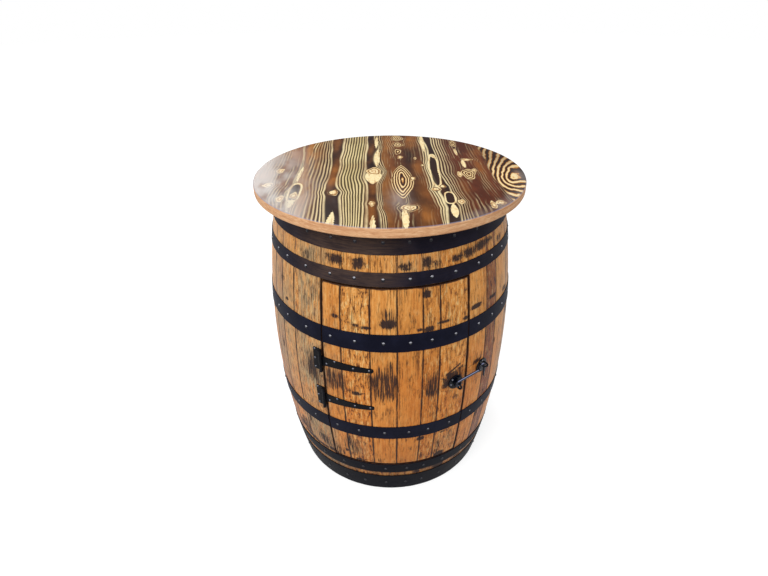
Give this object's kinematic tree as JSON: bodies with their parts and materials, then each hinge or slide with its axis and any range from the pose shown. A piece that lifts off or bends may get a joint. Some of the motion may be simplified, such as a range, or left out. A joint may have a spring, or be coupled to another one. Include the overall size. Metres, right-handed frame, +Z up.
{
  "type": "barrel bar cabinet",
  "caption": "Wooden barrel made into a bar cabinet: hinged door cut from the staves, cabin hook latch, steel hoops, inner shelf and a round table top of burnt pine.",
  "frame": {"origin": "centre of the foot circle, on the floor", "axes": "+Z up, the door faces -Y, +X to the viewer's right"},
  "size_m": [0.7185, 0.7186, 0.9154],
  "materials": {
    "barrel_wood": "oiled oak, honey to amber, with scorched and weathered marks",
    "burnt_pine": "torched and brushed pine under gloss lacquer, pale sanded rim",
    "inside_wood": "plain sawn wood, matt",
    "hoop_steel": "satin black paint on hoop steel",
    "nail_steel": "black paint rubbed grey on the domes",
    "black_iron": "semi-gloss black on iron",
    "zinc_screw": "plain zinc plate"
  },
  "bodies": {
    "barrel": {"barrel_hardware_screws": "black_iron", "barrel_hoop_nails": "nail_steel", "catch_rose": "black_iron", "door_stop": "inside_wood", "hinge_leaves": "black_iron", "hinge_pins": "black_iron", "inside_screws": "zinc_screw", "lower_bilge_hoop": "hoop_steel", "lower_chime_hoop": "hoop_steel", "lower_head": "inside_wood", "lower_quarter_hoop": "hoop_steel", "shelf": "inside_wood", "shelf_cleats": "inside_wood", "short_staves_above_door": "barrel_wood", "short_staves_below_door": "barrel_wood", "stave_01": "barrel_wood", "stave_02": "barrel_wood", "stave_03": "barrel_wood", "stave_04": "barrel_wood", "stave_05": "barrel_wood", "stave_06": "barrel_wood", "stave_07": "barrel_wood", "stave_08": "barrel_wood", "stave_09": "barrel_wood", "stave_10": "barrel_wood", "stave_11": "barrel_wood", "stave_12": "barrel_wood", "stave_13": "barrel_wood", "stave_14": "barrel_wood", "stave_15": "barrel_wood", "stave_16": "barrel_wood", "stave_17": "barrel_wood", "stave_18": "barrel_wood", "stave_19": "barrel_wood", "stave_20": "barrel_wood", "stave_21": "barrel_wood", "stave_22": "barrel_wood", "stave_23": "barrel_wood", "stave_24": "barrel_wood", "table_battens": "inside_wood", "table_screws": "zinc_screw", "table_top": "burnt_pine", "upper_bilge_hoop": "hoop_steel", "upper_chime_hoop": "hoop_steel", "upper_head": "inside_wood", "upper_quarter_hoop": "hoop_steel"},
    "door": {"door_batten_screws": "zinc_screw", "door_battens": "inside_wood", "door_hardware_screws": "black_iron", "door_hoop_nails": "nail_steel", "door_hoops": "hoop_steel", "door_rose": "black_iron", "door_stave_1": "barrel_wood", "door_stave_2": "barrel_wood", "door_stave_3": "barrel_wood", "door_stave_4": "barrel_wood", "door_stave_5": "barrel_wood", "door_stave_6": "barrel_wood", "hinge_straps": "black_iron"},
    "cabin_hook": {"cabin_hook": "black_iron"}
  },
  "joints": [
    {"name": "door_hinge", "type": "hinge", "parent": "barrel", "child": "door", "pos_m": [-0.19556, -0.29986, 0.452], "axis": [0, 0, -1], "range_deg": [0, 170]},
    {"name": "hook_lift", "type": "hinge", "parent": "door", "child": "cabin_hook", "pos_m": [0.16661, -0.32717, 0.4455], "axis": [0.5664, -0.8241, 0], "range_deg": [0, 140]}
  ]
}
